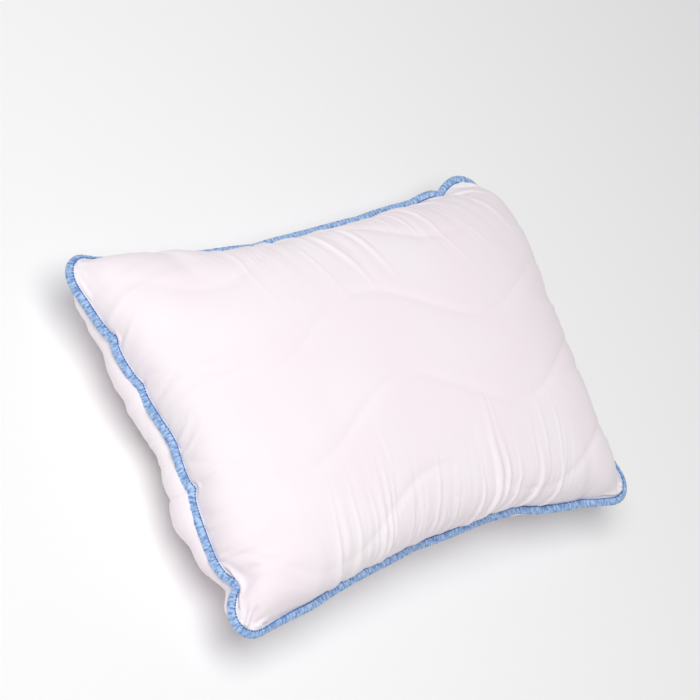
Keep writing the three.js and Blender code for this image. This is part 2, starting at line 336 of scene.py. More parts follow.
def seam_zone(u, v, reach, sharp):
    """From 1 at the seam down towards 0 beyond this reach, in millimetres of cloth."""
    to_end = (1 - np.abs(u)) * FLAT_LENGTH / 2
    to_side = (1 - np.abs(v)) * FLAT_WIDTH / 2
    near = np.minimum(to_end, to_side)
    return np.exp(-((near / reach) ** sharp))


LEVELS = [
    # rounds, fill support away from the seam and near it, bending
    dict(rounds=200, support=0.3, near=0.3, bending=0.02),
    dict(rounds=240, support=0.12, near=0.1, bending=0.006),
    dict(rounds=160, support=0.12, near=0.08, bending=0.003),
]

# How much cloth is eased into the seam: place along the side, half width, share of extra length
NEAR_EASE = [(20, 190, 0.03)]
FAR_EASE = [(90, 190, 0.03)]
RIGHT_EASE = [(0, 200, 0.02)]
# The same for the cloth that runs in from the left end, where its seam is pulled in most
LEFT_TAKE_UP = [(15, 85, -0.07), (-182, 55, -0.1)]
EASE_REACH = 90
EASE_POWER = 1.5  # how sharply it ends there
EASE_FLATNESS = 4  # how even it is over its width along the side
SUPPORT_ZONE = 70  # how far in the fill's weaker support near the seam reaches
VALLEY_START = 12  # how far in the quilted valleys start
COARSE_FOLDS = 0.5  # share of the folds' height that the second level starts from
FINE_FOLDS = 0.7  # and that the third level adds


def eased(along, places):
    """The share of extra length at a place along a side."""
    return sum(share * np.exp(-(((along - place) / half_width) ** EASE_FLATNESS))
               for place, half_width, share in places)


def ease_map(u, v):
    """The share of extra length at each knot, along X and along Y."""
    x, y = u * FLAT_LENGTH / 2, v * FLAT_WIDTH / 2
    to_end = (1 - np.abs(u)) * FLAT_LENGTH / 2
    to_side = (1 - np.abs(v)) * FLAT_WIDTH / 2
    near_side = np.exp(-((to_side / EASE_REACH) ** EASE_POWER))
    near_end = np.exp(-((to_end / EASE_REACH) ** EASE_POWER))
    along_x = np.where(v < 0, eased(x, NEAR_EASE), eased(x, FAR_EASE)) * near_side
    along_x += np.where(u < 0, eased(y, LEFT_TAKE_UP), 0) * near_end
    along_y = np.where(u < 0, 0, eased(y, RIGHT_EASE)) * near_end
    return along_x, along_y


# ---- folds that the cloth starts from ----

# Per side: middle and half length of the stretch that is folded, how far apart the folds are,
# how far in they run, their height, and how much they lean along the side.
FRONT_FOLDS = {
    "near": [(0, 205, 4.6, 92, 3.9, 0.12), (-10, 260, 18, 90, 1.2, 0.1)],
    "far": [(80, 215, 4.6, 88, 4.8, 0.25), (40, 270, 18, 100, 1.6, 0.2), (-190, 40, 13, 75, 2.8, 0.7)],
    "left": [(-10, 210, 9, 75, 2.2, 0.0), (0, 215, 22, 120, 3.0, 0.1)],
    "right": [(0, 200, 8, 60, 1.2, 0.0), (0, 200, 26, 90, 2.0, 0.0)],
}
BACK_FOLDS = {
    "near": [(0, 240, 10, 90, 1.2, 0.0), (0, 260, 26, 110, 1.6, 0.1)],
    "far": [(0, 240, 10, 90, 1.2, 0.0), (0, 260, 26, 110, 1.6, -0.1)],
    "left": [(0, 220, 12, 60, 2.6, 0.0), (-10, 220, 40, 80, 7.0, 0.0)],
    "right": [(0, 200, 15, 60, 1.0, 0.0), (0, 200, 40, 90, 2.5, 0.0)],
}

WANDER_SHARE = 0.8  # how far a fold strays along the side, as a share of its spacing
WANDER_SPACING = 8  # the widest spacing that this share is taken of
WANDER_SCALE = (70, 60)  # how far along the side, and how far in, until it strays another way
FOLD_DRIFT = 200  # how far along the side until the folds rise and fall at other depths
FOLD_STEADY = 1.3  # how many times its reach a fold runs in until its height varies
LENGTH_SPACINGS = 2.2  # how many spacings along the side until the folds' reach varies
REACH_SHARES = (0.75, 0.35)  # the middle of the folds' reach and how much it varies
RIDGE_MEAN = 0.4  # of the ridges' height, taken off so that the folds go both out and in
FOLD_START = 7  # how far in from the seam a fold reaches its height
FOLD_END_POWER = 2.2  # how sharply it ends at its reach
STRETCH_POWER = 6  # and how sharply a folded stretch of a side ends

# The crease that a tuck in the seam starts, beside it and in from it
CREASE_SHARE = 0.25  # its depth, as a share of the tuck's pull
CREASE_PULL = 16  # the strongest pull that this share is taken of
CREASE_WIDTH_LIMIT = 25  # tucks much wider than this start no crease
CREASE_LEAN = 0.2
CREASE_SPREAD = 1.05  # how much further along the cut cloth a place is than along the seam
CREASE_HALF_WIDTH = 5
CREASE_REACH = 30
CREASE_START = 4

FOLD_SEED = 11  # for the front's and the back's own folds, one more and one less
NOISE_CELLS = (256, 60)  # steps each way before the noise starts again
NOISE_GAIN = 1.5  # makes up for what evening out takes off it


def soft_noise(random, a, b):
    """Smooth noise, mostly from -1 to 1, that varies about once for each whole step of a and of b."""
    table = random.uniform(-1, 1, (NOISE_CELLS[0] + 1, NOISE_CELLS[1] + 1))
    i, j = np.floor(a).astype(int), np.floor(b).astype(int)
    fa, fb = a - i, b - j
    fa, fb = fa * fa * (3 - 2 * fa), fb * fb * (3 - 2 * fb)
    i, j = i % NOISE_CELLS[0], j % NOISE_CELLS[1]
    low = table[i, j] * (1 - fa) + table[i + 1, j] * fa
    high = table[i, j + 1] * (1 - fa) + table[i + 1, j + 1] * fa
    return (low * (1 - fb) + high * fb) * NOISE_GAIN


def fold_set(random, along, depth, middle, half, spacing, reach, size, lean):
    """Heights of one set of folds along a side: round crests with sharp valleys."""
    strays = soft_noise(random, along / WANDER_SCALE[0] + 40, depth / WANDER_SCALE[1])
    place = along - lean * depth + min(spacing, WANDER_SPACING) * WANDER_SHARE * strays
    ridge = soft_noise(random, place / spacing + 100, depth / reach / FOLD_STEADY + along / FOLD_DRIFT + 3)
    # The size of the noise has a sharp valley wherever the noise crosses 0, and round crests.
    ridge = 0.75 * np.abs(ridge) ** 0.8 + 0.35 * ridge
    uneven = soft_noise(random, place / spacing / LENGTH_SPACINGS + 100, np.zeros_like(depth))
    length = reach * (REACH_SHARES[0] + REACH_SHARES[1] * uneven)
    shape = np.exp(-((depth / length) ** FOLD_END_POWER)) * (1 - np.exp(-depth / FOLD_START))
    stretch = np.exp(-(((along - middle) / half) ** STRETCH_POWER))
    return size * (ridge - RIDGE_MEAN) * shape * stretch


def tuck_crease(along, depth, place, half_width, pull):
    """The depth of the crease that runs in from a tuck in the seam."""
    gap = along - place * CREASE_SPREAD - CREASE_LEAN * depth
    crease = CREASE_SHARE * np.clip(pull, 0, CREASE_PULL) * math.exp(-half_width / CREASE_WIDTH_LIMIT)
    across = (gap / CREASE_HALF_WIDTH) ** 2
    return crease * np.exp(-across - depth / CREASE_REACH) * (1 - np.exp(-depth / CREASE_START))


def fold_heights(random, u, v, side):
    """Heights of the long thin folds that run in from the seam, with the creases at its tucks."""
    x, y = u * FLAT_LENGTH / 2, v * FLAT_WIDTH / 2
    to = {
        "left": (y, x + FLAT_LENGTH / 2),
        "right": (y, FLAT_LENGTH / 2 - x),
        "near": (x, y + FLAT_WIDTH / 2),
        "far": (x, FLAT_WIDTH / 2 - y),
    }
    height = np.zeros_like(u)
    for name, sets in (FRONT_FOLDS if side > 0 else BACK_FOLDS).items():
        along, depth = to[name]
        for fold in sets:
            height += fold_set(random, along, depth, *fold)
    sides = {"left": LEFT_TUCKS, "right": RIGHT_TUCKS, "near": NEAR_TUCKS, "far": FAR_TUCKS}
    for name, tucks in sides.items():
        along, depth = to[name]
        for place, half_width, pull, _ in tucks:
            height -= tuck_crease(along, depth, place, half_width, pull)
    return height


def solve_panel(side, levels, seed):
    """A panel's net where it comes to rest, and the same net laid flat."""
    cells = GRID
    u, v = grid_square(cells)
    points = panel_start(u, v, side)
    target = points.copy()
    for number, level in enumerate(LEVELS[:levels]):
        if number:
            points = refine(points)
            cells = (cells[0] * 2, cells[1] * 2)
            u, v = grid_square(cells)
            points[[0, -1], :] = seam_place(u, v)[[0, -1], :]
            points[:, [0, -1]] = seam_place(u, v)[:, [0, -1]]
            target = points.copy()
        flat = np.stack(flat_cloth(u, v), axis=-1)
        if number == 1:
            gap = row_distance(flat[..., 0], flat[..., 1])
            valley = VALLEY_DEPTH * np.exp(-np.sqrt(gap**2 + 1) / VALLEY_HALF_WIDTH)
            inner = 1 - seam_zone(u, v, VALLEY_START, 2)
            target -= surface_normals(target, side) * (valley * inner)[..., None]
            points = target.copy()
        if number:
            height = fold_heights(np.random.default_rng(seed), u, v, side)
            height *= COARSE_FOLDS if number == 1 else FINE_FOLDS
            height[[0, -1], :] = 0
            height[:, [0, -1]] = 0
            target = target + surface_normals(target, side) * height[..., None]
            points = target.copy()
        zone = seam_zone(u, v, SUPPORT_ZONE, 2)
        support = level["support"] + (level["near"] - level["support"]) * zone
        bending = np.full(points.shape[:2], level["bending"])
        ease = np.stack(ease_map(u, v), axis=-1)
        points = solve(points, flat, ease, target, side, support, bending, level["rounds"])
    return points, flat


# ---- meshes ----


def mesh_piece(name, points, faces, uv=None):
    """A Blender object from points in millimetres and faces that all have the same number of corners."""
    mesh = bpy.data.meshes.new(name)
    faces = np.asarray(faces, dtype=np.int32)
    sides = faces.shape[1]
    mesh.vertices.add(len(points))
    mesh.vertices.foreach_set("co", np.asarray(points * MM, dtype=np.float32).ravel())
    mesh.loops.add(faces.size)
    mesh.loops.foreach_set("vertex_index", faces.ravel())
    mesh.polygons.add(len(faces))
    mesh.polygons.foreach_set("loop_start", np.arange(0, faces.size, sides, dtype=np.int32))
    mesh.polygons.foreach_set("use_smooth", np.ones(len(faces), dtype=bool))
    if uv is not None:
        layer = mesh.uv_layers.new(name="cloth")
        layer.data.foreach_set("uv", np.asarray(uv * MM, dtype=np.float32)[faces.ravel()].ravel())
    mesh.update(calc_edges=True)
    piece = bpy.data.objects.new(name, mesh)
    bpy.context.collection.objects.link(piece)
    return piece


def grid_faces(shape, first=0, flip=False):
    index = np.arange(shape[0] * shape[1]).reshape(shape) + first
    quads = np.stack([index[:-1, :-1], index[1:, :-1], index[1:, 1:], index[:-1, 1:]], axis=-1).reshape(-1, 4)
    return quads[:, ::-1] if flip else quads


def edge_loop(shape):
    """The numbers of a grid's edge knots, anticlockwise from its low corner."""
    index = np.arange(shape[0] * shape[1]).reshape(shape)
    return np.concatenate([index[:-1, 0], index[-1, :-1], index[:0:-1, -1], index[0, :0:-1]])


def band_faces(first_loop, second_loop, flip=False):
    """The faces between two closed loops of the same length."""
    a, b = np.asarray(first_loop), np.asarray(second_loop)
    quads = np.stack([a, b, np.roll(b, -1), np.roll(a, -1)], axis=-1)
    return quads[:, ::-1] if flip else quads


def slab(name, outer, inner, flat, side, outer_edge=None, inner_edge=None):
    """A closed layer between two grids of points, with the seam allowance outside their edges."""
    shape = outer.shape[:2]
    count = shape[0] * shape[1]
    loop = edge_loop(shape)
    points = [outer.reshape(-1, 3), inner.reshape(-1, 3)]
    uv = [flat.reshape(-1, 2), flat.reshape(-1, 2)]
    back = side < 0
    faces = [grid_faces(shape, 0, back), grid_faces(shape, count, not back)]
    if outer_edge is None:
        faces.append(band_faces(loop, loop + count, back))
    else:
        ring = np.arange(len(loop))
        points += [outer_edge, inner_edge]
        uv += [flat.reshape(-1, 2)[loop] * 1.01] * 2
        faces.append(band_faces(loop, 2 * count + ring, not back)[:, ::-1])
        faces.append(band_faces(loop + count, 2 * count + len(loop) + ring, back)[:, ::-1])
        faces.append(band_faces(2 * count + ring, 2 * count + len(loop) + ring, back))
    return mesh_piece(name, np.concatenate(points), np.concatenate(faces), np.concatenate(uv))


# ---- the seam's own frame ----


def smooth_loop(values, passes):
    """Evens out the values round a closed loop."""
    for _ in range(passes):
        values = (np.roll(values, 1, axis=0) + 2 * values + np.roll(values, -1, axis=0)) / 4
    return values


def resample_loop(points, spacing):
    """Even steps round a closed loop, how far round each is, and the loop's length."""
    closed = np.concatenate([points, points[:1]])
    lengths = np.concatenate([[0], np.cumsum(np.linalg.norm(np.diff(closed, axis=0), axis=1))])
    count = int(lengths[-1] / spacing)
    along = np.arange(count) * lengths[-1] / count
    out = np.stack([np.interp(along, lengths, closed[:, k]) for k in range(3)], axis=-1)
    return out, along, lengths[-1]


# How far the binding hangs below level, in degrees: everywhere, more on the left end, less on the
# far side, and more or less as it wanders
DROOP = 8
LEFT_DROOP = 25
FAR_DROOP = -20
WANDER_DROOP = 9
LEFT_FROM = 0.75  # where the left end's and the far side's shares start, of half the seam's size
FAR_FROM = 0.6
DROOP_CHANGE = 0.15  # over how much of it they grow to their full amount


def droop_at(points):
    """The angle that the binding hangs below level, which is most on the left end."""
    left = np.clip(-points[:, 0] / HALF_LENGTH - LEFT_FROM, 0, DROOP_CHANGE) / DROOP_CHANGE
    far = np.clip(points[:, 1] / HALF_WIDTH - FAR_FROM, 0, DROOP_CHANGE) / DROOP_CHANGE * (1 - left)
    wander = np.sin(points[:, 0] / 43 + 1) * np.sin(points[:, 1] / 37)
    return np.radians(DROOP + LEFT_DROOP * left + FAR_DROOP * far + WANDER_DROOP * wander)


def seam_frame(points):
    """The directions along the seam, out from it and up from the binding, at each of its points."""
    along = np.roll(points, -1, axis=0) - np.roll(points, 1, axis=0)
    along /= np.linalg.norm(along, axis=1, keepdims=True)
    along = smooth_loop(along, 3)
    along /= np.linalg.norm(along, axis=1, keepdims=True)
    level = np.cross(along, (0, 0, 1))
    level /= np.linalg.norm(level, axis=1, keepdims=True)
    droop = smooth_loop(droop_at(points), 30)[:, None]
    up = np.cross(level, along)
    up *= np.sign(up[:, 2:])
    out = level * np.cos(droop) - up * np.sin(droop)
    up = up * np.cos(droop) + level * np.sin(droop)
    return along, out, up


def seam_frame_at(points):
    """The seam's frame at uneven steps along it, from the frame at the binding's even steps."""
    even, along, total = resample_loop(points, BINDING_STEP)
    frame_even = seam_frame(smooth_loop(even, 2))
    steps = np.linalg.norm(np.roll(points, -1, axis=0) - points, axis=1)
    place = np.concatenate([[0], np.cumsum(steps[:-1])])
    out = []
    for vectors in frame_even:
        held = np.stack([np.interp(place, along, vectors[:, k], period=total) for k in range(3)], axis=-1)
        out.append(held / np.linalg.norm(held, axis=1, keepdims=True))
    return out


# ---- the edge binding ----

# Half of the binding's section: distance out from the seam, and height. The rest mirrors it.
BINDING_SECTION = [
    (0.2, 1.5), (0.5, 2.15), (1.1, 2.3), (1.8, 2.2), (2.8, 2.5), (4.2, 2.65),
    (5.8, 2.55), (7.3, 2.2), (8.6, 1.6), (9.5, 0.85), (9.9, 0.3),
]
BINDING_STEP = 0.8

# The tape's gathers: how long they are and how high
GATHERS = [(26, 0.3), (15, 0.28), (9, 0.3), (6, 0.28), (3.4, 0.25)]
GATHER_MIX = (0, 0.09, 0.21)  # each is mixed with ones that come this share more often
GATHER_LIFT = 0.8  # the share of the gathers that lifts the tape's faces
GATHER_REACH = 0.35  # and the share that moves its outer edge out and in
STITCH_DIMPLE = 0.1  # how much the stitches move the tape's faces
SCALLOP = 0.35  # and its inner edge
SCALLOPED = 0.15  # how far across each face, as a share, the inner edge's scallops go


def gathers(along, total, seed):
    """Uneven folds across the tape, from gathers a few millimetres long to a few centimetres."""
    random = np.random.default_rng(seed)
    ripple = np.zeros_like(along)
    for length, height in GATHERS:
        waves = max(1, round(total / length))
        for share in GATHER_MIX:
            phase = random.uniform(0, 2 * np.pi)
            number = waves + round(waves * share)
            ripple += height / 2 * np.cos(2 * np.pi * number * along / total + phase)
    return ripple


def binding_surface(seam):
    """The binding's outside, as rows of points round its section at each step along the seam."""
    points, along, total = resample_loop(seam, BINDING_STEP)
    points = smooth_loop(points, 2)
    _, out, up = seam_frame(points)
    stitches = round(total / STITCH_LENGTH)
    stitch = np.cos(2 * np.pi * stitches * along / total)
    ripple = {1: gathers(along, total, 5), -1: gathers(along, total, 6)}
    rows = []
    half = len(BINDING_SECTION)
    section = [(o, h, 1) for o, h in BINDING_SECTION] + [(o, -h, -1) for o, h in BINDING_SECTION[::-1]]
    for number, (o, h, face) in enumerate(section):
        place = min(number, 2 * half - 1 - number) / (half - 1)
        swell = math.sin(math.pi * min(1, 0.12 + place)) ** 0.8
        height = h + face * swell * (ripple[face] * GATHER_LIFT + STITCH_DIMPLE * stitch)
        height = face * np.maximum(face * height, min(abs(h), 1.5))
        reach = o + (SCALLOP * stitch if place < SCALLOPED else 0) + GATHER_REACH * ripple[face] * place
        rows.append(points + out * reach[:, None] + up * height[:, None])
    return np.stack(rows, axis=1), along, total


def edge_binding(seam):
    """The folded tape round the whole edge, and its rows of points for the stitching."""
    rows, along, total = binding_surface(seam)
    count, around = rows.shape[:2]
    index = np.arange(count * around).reshape(count, around)
    index = np.concatenate([index, index[:1]])
    index = np.concatenate([index, index[:, :1]], axis=1)
    quads = np.stack([index[:-1, :-1], index[:-1, 1:], index[1:, 1:], index[1:, :-1]], axis=-1).reshape(-1, 4)
    steps = np.linalg.norm(np.diff(rows[0], axis=0), axis=1)
    across = np.concatenate([[0], np.cumsum(steps)])
    uv = np.stack(np.broadcast_arrays(along[:, None], across[None, :]), axis=-1).reshape(-1, 2)
    return mesh_piece("edge_binding_tape", rows.reshape(-1, 3), quads, uv), rows


# ---- stitches ----

# A stitch's half thickness, how far its middle stands up, and its share of the stitch length
BINDING_STITCH_RADIUS = 0.65
BINDING_STITCH_LIFT = 0.25
BINDING_STITCH_SHARE = 0.86
BINDING_STITCH_POINT = 2  # the point of the binding's section that they lie on, from its inner edge
QUILTING_STITCH_RADIUS = 0.3
QUILTING_STITCH_LIFT = 0.12
QUILTING_STITCH_SHARE = 0.8
QUILTING_END_GAP = 4  # how far the rows stop short of the end seams

# A stitch's outline: place along its half length, and share of its thickness
CAPSULE = [(-1, 0.25), (-0.82, 0.75), (-0.35, 1), (0.35, 1), (0.82, 0.75), (1, 0.25)]
CAPSULE_SIDES = 6


def stitch_row(name, middles, along, up, length, radius):
    """A row of short threads, each a capsule that lies along the seam or the row."""
    across = np.cross(along, up)
    rings = []
    for place, width in CAPSULE:
        for side in range(CAPSULE_SIDES):
            angle = 2 * math.pi * side / CAPSULE_SIDES
            lift = up * math.sin(angle) + across * math.cos(angle)
            sink = -up * radius * 1.2 * place**4
            rings.append(middles + along * (place * length / 2) + lift * (radius * width) + sink)
    points = np.stack(rings, axis=1)
    per = points.shape[1]
    faces = []
    for ring in range(len(CAPSULE) - 1):
        for side in range(CAPSULE_SIDES):
            a = ring * CAPSULE_SIDES + side
            b = ring * CAPSULE_SIDES + (side + 1) % CAPSULE_SIDES
            faces.append((a, b, b + CAPSULE_SIDES, a + CAPSULE_SIDES))
    # Each end is a hexagon, closed with two faces of four corners.
    last = per - CAPSULE_SIDES
    faces += [(3, 2, 1, 0), (5, 4, 3, 0)]
    faces += [(last, last + 1, last + 2, last + 3), (last, last + 3, last + 4, last + 5)]
    faces = np.array(faces)[None] + (np.arange(len(middles)) * per)[:, None, None]
    return mesh_piece(name, points.reshape(-1, 3), faces.reshape(-1, 4))


def binding_stitches(name, rows, face):
    """The stitching near the binding's inner edge, one stitch for each scallop."""
    count = rows.shape[0]
    line = rows[:, BINDING_STITCH_POINT] if face > 0 else rows[:, -1 - BINDING_STITCH_POINT]
    inside = rows[:, 0] if face > 0 else rows[:, -1]
    total = np.linalg.norm(np.roll(line, -1, axis=0) - line, axis=1).sum()
    picks = (np.arange(round(total / STITCH_LENGTH)) + 0.5) * count / round(total / STITCH_LENGTH)
    picks = picks.astype(int) % count
    along = np.roll(line, -1, axis=0) - np.roll(line, 1, axis=0)
    along /= np.linalg.norm(along, axis=1, keepdims=True)
    up = np.cross(line - inside, along) * face
    up /= np.linalg.norm(up, axis=1, keepdims=True)
    up *= np.sign((up * (line - rows.mean(axis=1))).sum(axis=1, keepdims=True))
    middles = line[picks] + up[picks] * BINDING_STITCH_LIFT
    length = STITCH_LENGTH * BINDING_STITCH_SHARE
    return stitch_row(name, middles, along[picks], up[picks], length, BINDING_STITCH_RADIUS)


def quilting_row(name, points, side, row):
    """The stitching of one wavy row, on the solved panel."""
    n, m = points.shape[0] - 1, points.shape[1] - 1
    end = FLAT_LENGTH / 2 - QUILTING_END_GAP
    x = np.arange(-end, end, 1.0)
    y = row_middles()[row] + wave(x)
    steps = np.concatenate([[0], np.cumsum(np.hypot(np.diff(x), np.diff(y)))])
    middles = np.arange(STITCH_LENGTH / 2, steps[-1], STITCH_LENGTH)
    normal = surface_normals(points, side)

    def on_panel(field, distance):
        i = (np.interp(distance, steps, x) * 2 / FLAT_LENGTH + 1) / 2 * n
        j = (np.interp(distance, steps, y) * 2 / FLAT_WIDTH + 1) / 2 * m
        i0, j0 = np.minimum(i.astype(int), n - 1), np.minimum(j.astype(int), m - 1)
        fi, fj = (i - i0)[:, None], (j - j0)[:, None]
        low = field[i0, j0] * (1 - fi) + field[i0 + 1, j0] * fi
        high = field[i0, j0 + 1] * (1 - fi) + field[i0 + 1, j0 + 1] * fi
        return low * (1 - fj) + high * fj

    place, up = on_panel(points, middles), on_panel(normal, middles)
    up /= np.linalg.norm(up, axis=1, keepdims=True)
    along = on_panel(points, middles + 0.8) - on_panel(points, middles - 0.8)
    along -= up * (along * up).sum(axis=1, keepdims=True)
    along /= np.linalg.norm(along, axis=1, keepdims=True)
    length = STITCH_LENGTH * QUILTING_STITCH_SHARE
    return stitch_row(name, place + up * QUILTING_STITCH_LIFT, along, up, length, QUILTING_STITCH_RADIUS)


# ---- finishes ----


def linear(hex_colour):
    """An sRGB hex colour as linear red, green, blue and alpha."""
    parts = [int(hex_colour[i : i + 2], 16) / 255 for i in (1, 3, 5)]
    return [c / 12.92 if c <= 0.04045 else ((c + 0.055) / 1.055) ** 2.4 for c in parts] + [1]


def add_node(material, kind, settings=None, inputs=None):
    """Adds a node. An input is a value, or another node's output to link."""
    made = material.node_tree.nodes.new(kind)
    for key, value in (settings or {}).items():
        setattr(made, key, value)
    for key, value in (inputs or {}).items():
        if isinstance(value, bpy.types.NodeSocket):
            material.node_tree.links.new(value, made.inputs[key])
        else:
            made.inputs[key].default_value = value
    return made


def finish(name, roughness, sheen, colour=None):
    """A cloth or fibre material and its shader, with the values that are the same all over."""
    material = bpy.data.materials.new(name)
    material.use_nodes = True
    shader = material.node_tree.nodes["Principled BSDF"]
    shader.inputs["Roughness"].default_value = roughness
    shader.inputs["Sheen Weight"].default_value = sheen
    shader.inputs["Sheen Roughness"].default_value = 0.5
    shader.inputs["Specular IOR Level"].default_value = 0.3
    shader.inputs["IOR"].default_value = 1.5
    if colour:
        shader.inputs["Base Color"].default_value = linear(colour)
    return material, shader


def wave_scale(period_mm):
    """The Wave Texture's scale for bands this far apart."""
    return 2 * math.pi / 20 / (period_mm * MM)


def noise_scale(size_mm):
    """The Noise Texture's scale for patches of about this size."""
    return 1 / (size_mm * MM)


def two_colours(material, pattern, low, high, start, end):
    """One colour turning to another where the pattern rises from start to end."""
    share = add_node(material, "ShaderNodeMapRange",
                     inputs={"Value": pattern, "From Min": start, "From Max": end})
    mixed = add_node(material, "ShaderNodeMix", {"data_type": "RGBA"},
                     {"Factor": share.outputs["Result"], 6: linear(low), 7: linear(high)})
    return mixed.outputs[2]


def woven_bump(material, cloth, solid, spacing_mm, strength, distance_mm, nap_mm):
    """Threads crossing over and under, with a nap of loose fibre ends over them."""
    waves = []
    for direction in ("X", "Y"):
        threads = add_node(material, "ShaderNodeTexWave", {"bands_direction": direction},
                           {"Vector": cloth, "Scale": wave_scale(spacing_mm),
                            "Distortion": 0.6, "Detail": 1.0})
        waves.append(threads.outputs["Fac"])
    nap = add_node(material, "ShaderNodeTexNoise",
                   inputs={"Vector": solid, "Scale": noise_scale(nap_mm), "Detail": 3.0})
    cross = add_node(material, "ShaderNodeMath", {"operation": "MAXIMUM"}, dict(enumerate(waves)))
    height = add_node(material, "ShaderNodeMath", {"operation": "ADD"},
                      {0: cross.outputs["Value"], 1: nap.outputs["Fac"]})
    bump = add_node(material, "ShaderNodeBump",
                    inputs={"Height": height.outputs["Value"], "Strength": strength,
                            "Distance": distance_mm * MM})
    return bump.outputs["Normal"]


def brushed_microfibre():
    """Brushed white polyester microfibre: matt, with a soft sheen where it turns away, faintly pink."""
    material, shader = finish("brushed white polyester microfibre", 0.72, 0.25)
    cloth = add_node(material, "ShaderNodeUVMap", {"uv_map": "cloth"}).outputs["UV"]
    solid = add_node(material, "ShaderNodeTexCoord").outputs["Object"]
    patches = add_node(material, "ShaderNodeTexNoise",
                       inputs={"Vector": solid, "Scale": noise_scale(110), "Detail": 2.0})
    colour = two_colours(material, patches.outputs["Fac"], "#fbf0f6", "#fcf4f8", 0.35, 0.65)
    # The threads are about 0.15 mm apart, too fine to show, so they are drawn 1.3 mm apart.
    normal = woven_bump(material, cloth, solid, 1.3, 0.12, 0.05, 0.9)
    material.node_tree.links.new(colour, shader.inputs["Base Color"])
    material.node_tree.links.new(normal, shader.inputs["Normal"])
    return material


def woven_tape():
    """Light blue polyester tape: a plain weave with a slight lustre and uneven bands of painted shade and
    highlight across it.
    """
    material, shader = finish("light blue woven polyester tape", 0.55, 0.2)
    cloth = add_node(material, "ShaderNodeUVMap", {"uv_map": "cloth"}).outputs["UV"]
    solid = add_node(material, "ShaderNodeTexCoord").outputs["Object"]
    # Uneven colour in short bands across the tape: painted shade in its gathers and painted highlight on its
    # float threads, over the weave's own uneven colour.
    stretched = add_node(material, "ShaderNodeMapping", inputs={"Vector": cloth, "Scale": (1, 0.35, 1)})
    painted_gather_shade_and_mottle = add_node(material, "ShaderNodeTexNoise",
                       inputs={"Vector": stretched.outputs["Vector"], "Scale": noise_scale(2.6),
                               "Detail": 3.0})
    colour = two_colours(material, painted_gather_shade_and_mottle.outputs["Fac"], "#658ec8", "#b6d1f2", 0.36, 0.62)
    # The tape's threads are about 0.3 mm apart and are drawn 1 mm apart to show.
    normal = woven_bump(material, cloth, solid, 1.0, 0.4, 0.15, 0.8)
    material.node_tree.links.new(colour, shader.inputs["Base Color"])
    material.node_tree.links.new(normal, shader.inputs["Normal"])
    return material


def sewing_thread(name, colour):
    """Spun polyester sewing thread: round, with the twist of its plies."""
    material, shader = finish(name, 0.5, 0.15, colour)
    place = add_node(material, "ShaderNodeTexCoord").outputs["Object"]
    twist = add_node(material, "ShaderNodeTexWave", {"bands_direction": "DIAGONAL"},
                     {"Vector": place, "Scale": wave_scale(0.6), "Distortion": 0.0})
    bump = add_node(material, "ShaderNodeBump",
                    inputs={"Height": twist.outputs["Fac"], "Strength": 0.3, "Distance": 0.1 * MM})
    material.node_tree.links.new(bump.outputs["Normal"], shader.inputs["Normal"])
    return material


def cloudy(name, low, high, size_mm, roughness, relief_mm):
    """A dull fibre mat with cloudy patches, where single fibres catch the light."""
    material, shader = finish(name, roughness, 0.1)
    solid = add_node(material, "ShaderNodeTexCoord").outputs["Object"]
    noise = add_node(material, "ShaderNodeTexNoise",
                     inputs={"Vector": solid, "Scale": noise_scale(size_mm), "Detail": 4.0})
    clouds = noise.outputs["Fac"]
    colour = two_colours(material, clouds, low, high, 0.3, 0.7)
    material.node_tree.links.new(colour, shader.inputs["Base Color"])
    bump = add_node(material, "ShaderNodeBump",
                    inputs={"Height": clouds, "Strength": 0.4, "Distance": relief_mm * MM})
    material.node_tree.links.new(bump.outputs["Normal"], shader.inputs["Normal"])
    return material


def wadding_finish():
    """Bonded polyester wadding: soft white, loose and cloudy."""
    return cloudy("bonded polyester wadding", "#f0f0ee", "#f8f8f6", 9, 0.9, 1.0)


def nonwoven_finish():
    """Spunbonded lining: thin, off white, with the mottle of its pressed fibres."""
    return cloudy("spunbonded nonwoven lining", "#e9e9ea", "#f3f3f4", 3, 0.7, 0.2)


def fibre_finish():
    """Crimped hollow polyester fibre: bright white tufts."""
    return cloudy("crimped polyester fibre fill", "#f2f3f4", "#fbfbfb", 14, 0.85, 1.5)


# ---- camera, light and floor: places in metres, the floor in millimetres ----

CAMERA_AZIMUTH = math.radians(-73.25)
CAMERA_ELEVATION = math.radians(46.2)
CAMERA_ROLL = math.radians(51.6)
CAMERA_DISTANCE = 3.068
CAMERA_LENS = 133.5
CAMERA_AIM = Vector((0.0057, 0.0496, SEAM_HEIGHT * MM))

WORLD_LIGHT = 0.38
KEY_PLACE = (-1.05, 0.0, 2.75)
KEY_SIZE = 2.2
KEY_POWER = 60
FLOOR_HALF = 6000
FLOOR_GAP = 0.4  # below the pillow, so that the two surfaces don't share a plane


def make_camera():
    """A long lens that looks down at the pillow's left end, turned about its own axis."""
    camera = bpy.data.objects.new("camera", bpy.data.cameras.new("camera"))
    camera.data.lens = CAMERA_LENS
    level = math.cos(CAMERA_ELEVATION)
    back = Vector((math.sin(CAMERA_AZIMUTH), -math.cos(CAMERA_AZIMUTH), 0)) * level
    back.z = math.sin(CAMERA_ELEVATION)
    turn = back.to_track_quat("Z", "Y").to_matrix() @ Matrix.Rotation(CAMERA_ROLL, 3, "Z")
    camera.matrix_world = Matrix.Translation(CAMERA_AIM + back * CAMERA_DISTANCE) @ turn.to_4x4()
    bpy.context.collection.objects.link(camera)
    bpy.context.scene.camera = camera


def make_light(name, place, size, power):
    """A square lamp that faces the pillow."""
    light = bpy.data.lights.new(name, "AREA")
    light.size = size
    light.energy = power
    lamp = bpy.data.objects.new(name, light)
    lamp.location = place
    lamp.rotation_euler = (Vector(place) - CAMERA_AIM).to_track_quat("Z", "Y").to_euler()
    bpy.context.collection.objects.link(lamp)


